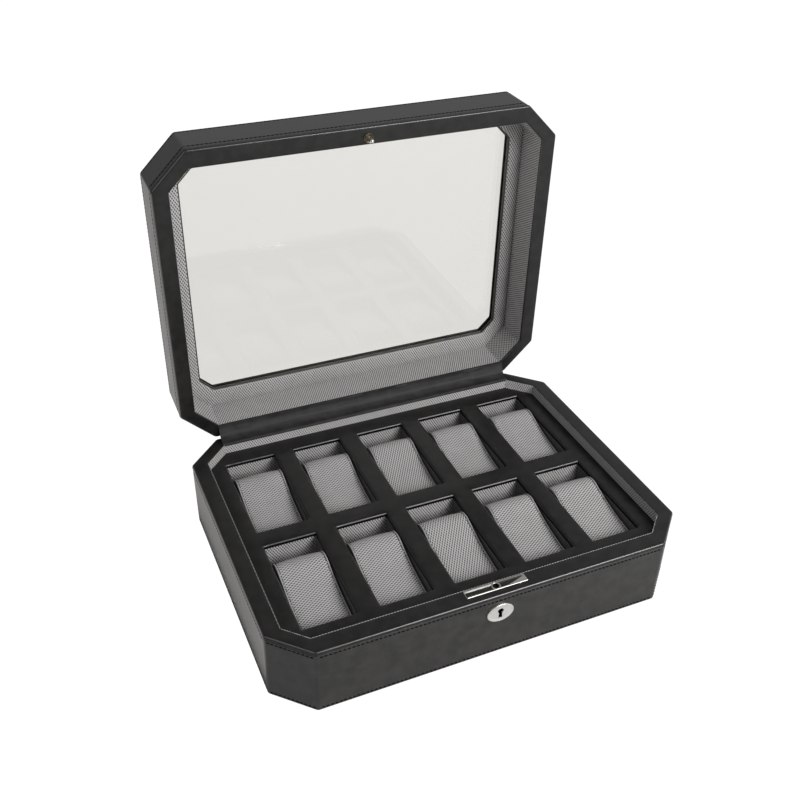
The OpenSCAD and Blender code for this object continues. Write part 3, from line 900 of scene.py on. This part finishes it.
def hinge_strip():
    """The soft leather over the hinge, from the base's rim to the lid's, in one slack piece."""
    low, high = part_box("hinge_strip_base")
    half = (high[0] - low[0]) / 2
    path = strip_path()
    last = len(path) - 1
    slack_share = np.sin(math.pi * np.arange(last + 1) / last)
    rings = []
    for x in np.linspace(-half, half, 120):
        slack = [
            0.35 * MM * noise.noise(Vector((x * 22, k * 0.12, 5.0)))
            + 0.18 * MM * noise.noise(Vector((x * 90, k * 0.3, 9.0))) for k in range(last + 1)
        ] * slack_share
        front, back = (path + normals(path) * (slack + side * STRIP_T / 2)[:, None] for side in (1, -1))
        rings.append([(x, y, z) for y, z in np.vstack([front, back[::-1]])])
    points, faces = skin(rings, capped=False)
    for start in (0, len(points) - 2 * (last + 1)):
        end = start + 2 * last + 1
        faces += [(start + k, start + k + 1, end - k - 1, end - k) for k in range(last)]
    piece = make("hinge_strip", points, faces, STRIP_LEATHER, "strip_leather", sharp=60)
    start, end = (0, PIVOT.y - 4 * MM, RIM_Z + 0.8 * MM), (0, PIVOT.y, PIVOT.z + 4 * MM)
    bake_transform(piece)
    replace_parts(piece, "hinge_strip_base", "hinge_strip_lid")


# ---- Lock ----

KEYHOLE_R = 2.2 * MM
KEYHOLE_SLOT = 1.2 * MM
KEYHOLE_DROP = 6.2 * MM
KEYHOLE_FLARE = 1.25
KEYHOLE_RISE = 1.8 * MM


def keyhole_outline(grow, steps=20):
    """A round top over a slot that widens a little, as (x, z) about the middle of the round."""
    r, slot_half, slot_drop = KEYHOLE_R + grow, KEYHOLE_SLOT + grow, KEYHOLE_DROP + grow
    meet = math.asin(slot_half / r)
    turns = np.linspace(meet - math.pi / 2, 3 * math.pi / 2 - meet, steps + 1)
    foot = slot_half * KEYHOLE_FLARE
    return [(r * math.cos(a), r * math.sin(a)) for a in turns] + [(-foot, -slot_drop), (foot, -slot_drop)]


def keyhole_rings(shape):
    """Keyhole outlines, one for each (grow, depth) behind the plate."""
    a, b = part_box("keyhole_plate")
    x, z = (a[0] + b[0]) / 2, (a[2] + b[2]) / 2 + KEYHOLE_RISE
    return [[(x + px, b[1] + depth, z + pz) for px, pz in keyhole_outline(grow)] for grow, depth in shape]


def keyhole_cutter(grow=0.0):
    """A keyhole-shaped bar through the front wall."""
    bar = skin(keyhole_rings([(grow, -6 * MM), (grow, 8 * MM)]))
    return make("keyhole_cutter", *bar, STEEL, "lock_nickel")


def keyhole_shade_sleeve():
    """A near-black sleeve in the keyhole, from behind the plate into the lock: painted shade for the hole's
    shadow.
    """
    wall, near, far = 0.45 * MM, 0.2 * MM, 6.2 * MM
    rings = keyhole_rings([(0, near), (wall, near), (wall, far), (0, far)])
    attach(loft("keyhole_shade_sleeve", rings, BLACK_AND_PAINTED_SHADE, "hinge_steel"), "base")


def keyhole_plate():
    """The oval plate on the front face, with a rounded edge and a dished middle."""
    low, high = (np.array(p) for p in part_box("keyhole_plate"))
    x, _, z = (low + high) / 2
    half_w, _, half_h = (high - low) / 2
    edge = [(0, 0), (0, 0.5), (0.12, 0.95), (0.45, 1.25), (0.9, 1.35)]
    dish = [(1.3, 1.28), (1.7, 1.05), (2.2, 0.95), (4.5, 0.92)]
    rings = []
    for inset, proud in edge + dish:
        w, h, y = half_w - inset * MM, half_h - inset * MM, high[1] - proud * MM
        rings.append([(x + w * c, y, z + h * s) for c, s in circle(72)])
    plate = make("keyhole_escutcheon", *skin(rings), SATIN_NICKEL, "lock_nickel", sharp=50)
    cut(plate, keyhole_cutter())
    smooth(plate.data, 30)
    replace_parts(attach(plate, "base"), "keyhole_plate")
    keyhole_shade_sleeve()


LOCK_TOP = RIM_Z + 0.75 * MM
LOCK_FLOOR = RIM_Z + 0.2 * MM
LOCK_RAIL = 0.95 * MM
LOCK_END = 2.6 * MM
RING_HOLE_R = 2.3 * MM
RING_R = 3.4 * MM
RING_WALL = 0.3 * MM
STUD_HOLE_R = 2.4 * MM
LOW, HIGH = (np.array(p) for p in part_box("lock_plate"))
LOCK_X, LOCK_Y, _ = (LOW + HIGH) / 2
LOCK_HALF_W, LOCK_HALF_D, _ = (HIGH - LOW) / 2
RING_AT = (LOCK_X, LOCK_Y, RIM_Z)


def stud_bore():
    """A round bar through the rim, for the hole that the lid's stud goes into."""
    bar = lathe([(STUD_HOLE_R, -12 * MM), (STUD_HOLE_R, 12 * MM)], RING_AT, 40)
    return make("bore", *bar, BLACK_AND_PAINTED_SHADE, "rim_leather")


def bolt_pocket():
    """A block under the lock plate, for the room that the bolt slides in."""
    corners = [(LOW[0], LOW[1]), (HIGH[0], LOW[1]), (HIGH[0], HIGH[1]), (LOW[0], HIGH[1])]
    block = skin([[(x, y, z) for x, y in corners] for z in (RIM_Z - 4 * MM, RIM_Z - 0.75 * MM)])
    return make("pocket", *block, BLACK_AND_PAINTED_SHADE, "rim_leather")


def lock_section(s, depth):
    """The plate's section at s from its middle: front rail, channel, back rail. The channel is at full depth
    where depth is 1, and the front rail widens towards the right end."""
    front, back, foot = -LOCK_HALF_D, LOCK_HALF_D, RIM_Z - 0.5 * MM
    bevel, shoulder = 0.17 * MM, LOCK_TOP - 0.2 * MM
    floor = LOCK_TOP + (LOCK_FLOOR - LOCK_TOP) * depth
    widest = 2 * (LOCK_HALF_D - LOCK_RAIL) - 1.1 * MM
    flare = widest * min(max((s - 9 * MM) / (LOCK_HALF_W - 11 * MM), 0), 1)
    shape = [
        (front, foot), (front, shoulder), (front + bevel, LOCK_TOP), (front + LOCK_RAIL + flare, LOCK_TOP),
        (front + LOCK_RAIL + 0.35 * MM + flare, floor), (back - LOCK_RAIL - 0.85 * MM, floor),
        (back - LOCK_RAIL, LOCK_TOP), (back - bevel, LOCK_TOP), (back, shoulder), (back, foot),
    ]
    highest = LOCK_TOP - 0.35 * MM if abs(s) > LOCK_HALF_W - 0.1 * MM else LOCK_TOP
    return [(LOCK_X + s, LOCK_Y + d, min(h, highest)) for d, h in shape]


def striker_plate():
    """The plate with its channel, open at the left and sloping up at the right, and a hole for the ring."""
    left, right = -LOCK_HALF_W, LOCK_HALF_W
    level = [left, left + 0.35 * MM] + [k * MM for k in range(-16, 17, 4)]
    level += [right - LOCK_END - 0.5 * MM, right - LOCK_END]
    stations = [(s, 1.0) for s in level] + [(right - 0.9 * MM, 0.05), (right - 0.35 * MM, 0.0), (right, 0.25)]
    sections = skin([lock_section(s, depth) for s, depth in stations])
    plate = make("lock_striker_plate", *sections, LOCK_NICKEL, "lock_nickel", sharp=25)
    drill_r = RING_HOLE_R + RING_WALL
    drill = lathe([(drill_r, -3 * MM), (drill_r, 3 * MM)], RING_AT, 40)
    cut(plate, make("drill", *drill, STEEL, "lock_nickel"))
    smooth(plate.data, 25)
    paint_channel_shade(plate.data)
    return plate


def paint_channel_shade(mesh):
    """Painted shade: a darker metal in the channel, for the shade and dark reflections seen there. The back
    rail's slope keeps the bright metal in the left half only, so a highlight shows there.
    """
    mesh.materials.append(CHANNEL_PAINTED_SHADE)
    for face in mesh.polygons:
        x, y, z = face.center - Vector(RING_AT)
        in_channel = abs(y) < LOCK_HALF_D - LOCK_RAIL and abs(x) < LOCK_HALF_W - 0.5 * MM
        low_enough = 0 < z < LOCK_TOP - 0.15 * MM - RIM_Z
        bright_slope = face.normal.y < -0.3 and x < 2 * MM
        if in_channel and low_enough and not bright_slope:
            face.material_index = len(mesh.materials) - 1


def lock_ring():
    """The ring that takes the lid's stud."""
    foot, top, soft = -0.5 * MM, 0.85 * MM, 0.25 * MM
    shape = [(RING_HOLE_R, foot), (RING_R, foot), (RING_R, top - RING_WALL), (RING_R - soft, top)]
    shape += [(RING_HOLE_R + RING_WALL, top), (RING_HOLE_R, top - soft), (RING_HOLE_R, foot)]
    ring = lathe(shape, RING_AT, 40, capped=False)
    return make("lock_ring", *ring, LOCK_NICKEL, "lock_nickel", sharp=30)


def lock_well():
    """The near-black wall of the hole under the ring: painted shade for the shadow down the hole."""
    wall_r, top, deep = RING_HOLE_R + RING_WALL, 0.1 * MM, -0.85 * MM
    shape = [(wall_r, deep), (wall_r, top), (RING_HOLE_R, top), (RING_HOLE_R, deep), (wall_r, deep)]
    return make("lock_ring_well", *lathe(shape, RING_AT, 24, capped=False), BLACK_AND_PAINTED_SHADE, "hinge_steel")


def lock_plate():
    """The plate on the front rim, its ring and the near-black well under the ring, painted shade for the hole."""
    plate = striker_plate()
    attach(lock_well(), "base")
    ring = lock_ring()
    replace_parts(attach(plate, "base"), "lock_plate")
    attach(ring, "base")


BALL_R = 1.9 * MM
BALL_Z = -6.25 * MM
NECK_R = 1.0 * MM
NECK = [(1, -3.9), (1, -1.2), (1.4, -0.7), (1.8, 0.4), (0, 1)]
CUP = [(1.2, -0.3), (2, -0.25), (2.9, -0.55), (3.4, -0.85), (3.8, -0.7), (4, -0.2), (4, 0.4), (0, 0.5)]


def catch_stud():
    """The ball on its neck, and the cup that it stands in."""
    centre = (0, node_points("catch_stud", lid=True)[:, 1].mean(), LID_RIM_Z)
    quarter = [(BALL_R * math.cos(a), BALL_R * math.sin(a)) for a in np.linspace(0, math.pi / 2, 9)]
    ball = [(0, BALL_Z - BALL_R)] + [(r, BALL_Z - h) for r, h in quarter[-2::-1]]
    ball += [(r, BALL_Z + h) for r, h in quarter[1:] if r > NECK_R]
    ball += [(r * MM, h * MM) for r, h in NECK]
    stud = make("lid_stud", *lathe(ball, centre), NICKEL, "lock_nickel", lid=True, sharp=60)
    cup = lathe([(r * MM, h * MM) for r, h in CUP], centre)
    cup = make("lid_stud_cup", *cup, CUP_BRASS, "cup_brass", lid=True, sharp=60)
    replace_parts(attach(stud, "lid"), "catch_stud")
    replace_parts(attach(cup, "lid"), "catch_stud_cup")


# ---- Cushions ----

CUSHION_INSET = 0.2 * MM
CUSHION_SPACING = 1.3 * MM
CUSHION_COLUMNS = 27
SIDE_DEPTH = 12
SEAM_SOFT = 1.0 * MM
PIPING_R = 0.55 * MM
SEAM_R = 0.26 * MM
SEAM_MARGIN = 1.1 * MM
SEAM_SPACING = 0.7 * MM
TURNED_CUSHIONS = (2, 7)


def arc(centre, r, start, end, steps):
    return [centre + r * np.array([math.cos(a), math.sin(a)]) for a in np.linspace(start, end, steps)]


def cushion_profile(low, high, middle_y):
    """The cushion's side view, front foot to back foot over the top, as (y, z). It is the CAD cushion's shape:
    a round crest at the back, a long hollow seat and a small nose."""
    crest_r, seat_r, nose_r, foot_r = 12 * MM, 162 * MM, 6 * MM, 4 * MM
    high_turn, low_turn = math.radians(20), math.radians(3)
    crest = np.array([middle_y + 17 * MM, high - crest_r])
    seat = crest + (crest_r + seat_r) * np.array([-math.sin(high_turn), math.cos(high_turn)])
    nose = seat + (seat_r + nose_r) * np.array([math.sin(low_turn), -math.cos(low_turn)])
    front_foot = np.array([nose[0] - nose_r + foot_r, low + foot_r])
    back_foot = np.array([crest[0] + crest_r - foot_r, low + foot_r])
    right = math.pi / 2
    points = arc(front_foot, foot_r, -right, -2 * right, 6)
    points += arc(nose, nose_r, math.pi, right + low_turn, 8)
    points += arc(seat, seat_r, low_turn - right, high_turn - right, 26)[1:]
    points += arc(crest, crest_r, right + high_turn, 0, 16)[1:]
    points += arc(back_foot, foot_r, 0, -right, 6)
    return np.array(points)


class Cover:
    """A cushion's cover: a panel that wraps over the top from foot to foot, crowned between its side seams,
    two slightly bulging side panels, and a flat bottom."""

    def __init__(self, name, centre, seed):
        low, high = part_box("cushion_cover_" + name)
        self.x, self.low, self.seed = centre[0], low[2], seed
        self.line, self.reach = evenly(cushion_profile(low[2], high[2], centre[1]), spacing=CUSHION_SPACING)
        self.half = (high[0] - low[0]) / 2 - CUSHION_INSET
        self.rows, self.cols = len(self.line), CUSHION_COLUMNS
        foot_y = np.linspace(self.line[0, 0], self.line[-1, 0], self.rows)
        self.foot = np.stack([foot_y, np.full(self.rows, self.low)], 1)
        self.points, self.faces, self.uvs = [], [], []
        self.top()
        edges = [self.side(0, -1), self.side(self.cols - 1, 1)]
        self.bottom(*edges)

    def grid(self, lines, cloth):
        """Faces between lines of point numbers. cloth gives the place of a point on the cloth."""
        for here, there in zip(lines, lines[1:]):
            for a, b, c, d in zip(here, here[1:], there[1:], there):
                self.faces.append((a, b, c, d))
                self.uvs += [cloth(k) for k in (a, b, c, d)]

    def top(self):
        xs = self.half * np.sin(np.linspace(-math.pi / 2, math.pi / 2, self.cols))
        cloth = []
        for (y, z), (ny, nz), s in zip(self.line, normals(self.line), self.reach):
            for x in xs:
                off = self.swell(x, s)
                if z < self.low + 3 * MM:
                    off = min(off, 0)
                self.points.append((self.x + x, y + ny * off, max(z + nz * off, self.low)))
                cloth.append((x, s))
        self.grid(np.arange(self.rows * self.cols).reshape(self.rows, self.cols), lambda k: cloth[k])

    def swell(self, x, s):
        """How far the top panel stands out, x from its middle and s along it."""
        edge = (self.half - abs(x)) / SEAM_SOFT
        crown = 0.75 * MM * (1 - (x / self.half) ** 2) - 0.35 * MM * math.exp(-edge)
        ripple = 0.22 * MM * noise.noise(Vector((x * 70 + self.seed, s * 55, self.seed * 1.7)))
        pucker = 0.10 * MM * noise.noise(Vector((x * 260 + self.seed, s * 60, self.seed * 0.3)))
        return crown + ripple + pucker * math.exp(-edge * 0.3)

    def side(self, column, sign):
        """A side panel: from each point of the seam, a line of points down to the bottom edge."""
        lines = []
        for i, (seam, foot) in enumerate(zip(self.line, self.foot)):
            lines.append([i * self.cols + column])
            for share in np.arange(1, SIDE_DEPTH + 1) / SIDE_DEPTH:
                y, z = seam * (1 - share) + foot * share
                inner = min(2 * min(share, 1 - share * 0.98), 1)
                bulge = 0.45 * MM * math.sin(math.pi * inner / 2)
                bulge += 0.12 * MM * noise.noise(Vector((y * 80, z * 80, self.seed)))
                lines[-1].append(len(self.points))
                self.points.append((self.x + sign * (self.half + bulge * min(1, 4 * share)), y, z))
        self.grid(lines, lambda k: self.points[k][1:])
        return [line[-1] for line in lines]

    def bottom(self, left, right):
        """The bottom joins the two side panels' lowest points and the front and back edges."""
        xs = np.linspace(-self.half, self.half, self.cols)[1:-1]
        start = len(self.points)
        self.points += [(self.x + x, y, self.low) for y, _ in self.foot for x in xs]
        between = np.arange(start, len(self.points)).reshape(self.rows, -1)
        between[0] = np.arange(1, self.cols - 1)
        between[-1] = (self.rows - 1) * self.cols + between[0]
        self.grid(np.column_stack([left, between, right]).T, lambda k: self.points[k][:2])

    def stitches(self):
        """A row of stitches just inside each side seam, over the top of the cushion."""
        path, _ = evenly(self.line[4:-6], spacing=SEAM_SPACING)
        lifted = path + 0.02 * MM * normals(path)
        parts = []
        for x in (self.x - self.half + SEAM_MARGIN, self.x + self.half - SEAM_MARGIN):
            for k in range(0, len(lifted) - 3, 4):
                parts.append(cord([(x, y, z) for y, z in lifted[k:k + 3]], SEAM_R, 6))
        return parts

    def piping(self):
        """A cord along each side seam."""
        reach = self.half - 0.05 * MM
        sides = (self.x - reach, self.x + reach)
        return [cord([(x, y, z) for y, z in self.line[3:-3]], PIPING_R) for x in sides]


def cushions():
    for i, (name, centre) in enumerate(zip(CUSHIONS, cushion_centres())):
        c = Cover(name, centre, seed=3.7 * i + 1)
        material = CUSHION_FABRIC_TURNED if i in TURNED_CUSHIONS else CUSHION_FABRIC
        cover = make("cushion_" + name, c.points, c.faces, material, "cushion_fabric", c.uvs, sharp=55)
        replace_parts(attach(cover, "cushion_" + name), "cushion_cover_" + name, "cushion_foam_" + name)
        piping = join(f"cushion_{name}_piping", c.piping(), PIPING, "cushion_fabric", sharp=60)
        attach(piping, "cushion_" + name)
        seam = join(f"cushion_{name}_stitches", c.stitches(), SEAM_THREAD, "cushion_fabric")
        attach(seam, "cushion_" + name)


# ---- Studio ----

DIM_LIGHT = 0.13
BACKDROP_LIGHT = 0.64
BACKDROP_SIDE = (0.6, 0.8, 0)
BACKDROP_SPREAD = (0.15, 0.65)
SEEN_WHITE = 1.05
FLOOR_REACH = 6
CARD_GLOW = 0.9
LIGHTS_AIM = Vector((0, 0, 0.05))
LIGHTS = [
    ("key", Vector((0.58, -1.08, 0.86)), (0.75, 0.6), 19.5),
    ("left", Vector((-0.82, -0.31, 0.82)), (0.25, 0.35), 1.3),
]


def ground(name, left, front, right, back, z, material):
    """A level card that lights the box but that the camera doesn't see."""
    mesh = bpy.data.meshes.new(name)
    corners = [(left, front, z), (right, front, z), (right, back, z), (left, back, z)]
    mesh.from_pydata(corners, [], [(0, 1, 2, 3)])
    mesh.materials.append(material)
    piece = add_object(name, mesh)
    piece.visible_camera = False


def backdrop():
    """Light from all round, brighter from the back right, and plain white where the camera sees it."""
    world = bpy.data.worlds.new("studio")
    bpy.context.scene.world = world
    world.use_nodes = True
    n = Nodes(world.node_tree)
    toward = n.vector("DOT_PRODUCT", n.coordinates("Generated"), BACKDROP_SIDE)["Value"]
    light = n.span(toward, BACKDROP_SPREAD, (DIM_LIGHT, BACKDROP_LIGHT))
    seen = n.add("ShaderNodeLightPath").outputs["Is Camera Ray"]
    strength = n.fill(n.add("ShaderNodeMix"), Factor=seen, A=light, B=SEEN_WHITE)[0]
    n.fill(n.tree.nodes["Background"], Color=(1, 1, 1, 1), Strength=strength)


def studio():
    """A pale floor that only returns light, a glowing card on it at the left, a large soft light at the front
    right and a weak one at the left. The camera sees the box on plain white."""
    n = Surface("pale floor")
    tone = n.ramp(n.noise(scale=3, detail=2), (0.90, 0.90, 0.90), (0.92, 0.92, 0.92))
    pale = n.shade(Base_Color=tone, Roughness=0.9)
    ground("floor", -FLOOR_REACH, -FLOOR_REACH, FLOOR_REACH, FLOOR_REACH, 0, pale)
    glow = Surface("reflector").shade(
        Base_Color=(0.9, 0.9, 0.9, 1), Roughness=0.9, Emission_Color=(1, 0.98, 0.95, 1),
        Emission_Strength=CARD_GLOW)
    ground("reflector", -1.1, -0.08, -0.163, 1.3, 1 * MM, glow)
    backdrop()
    for name, at, size, power in LIGHTS:
        light = bpy.data.lights.new(name, "AREA")
        light.shape = "RECTANGLE"
        light.size, light.size_y = size
        light.energy = power
        lamp = add_object(name, light)
        lamp.location = at
        lamp.rotation_euler = (LIGHTS_AIM - at).to_track_quat("-Z", "Y").to_euler()
    bpy.context.scene.view_settings.view_transform = "Standard"


AIM = Vector((0, 52.7 * MM, 103.2 * MM))
CAMERA_AZIMUTH = math.radians(24.004)
CAMERA_ELEVATION = math.radians(34.51)
CAMERA_ROLL = math.radians(1.117)
CAMERA_DISTANCE = 0.76117
LENS = 44.5
SENSOR = 36


def camera():
    """The camera stands to the left of the front and looks down at the middle of the open box."""
    data = bpy.data.cameras.new("camera")
    data.lens = LENS
    data.sensor_width = SENSOR
    data.clip_start = 0.01
    eye = add_object("camera", data)
    aimed = Matrix.Translation(AIM) @ Matrix.Rotation(-CAMERA_AZIMUTH, 4, "Z")
    tilted = Matrix.Rotation(math.pi / 2 - CAMERA_ELEVATION, 4, "X") @ Matrix.Rotation(CAMERA_ROLL, 4, "Z")
    eye.matrix_world = aimed @ tilted @ Matrix.Translation((0, 0, CAMERA_DISTANCE))
    bpy.context.scene.camera = eye


camera()
paint_frame()
base_shell()
lid_shell()
linings()
window()
tray()
hinge_strip()
lock_plate()
keyhole_plate()
catch_stud()
cushions()
studio()
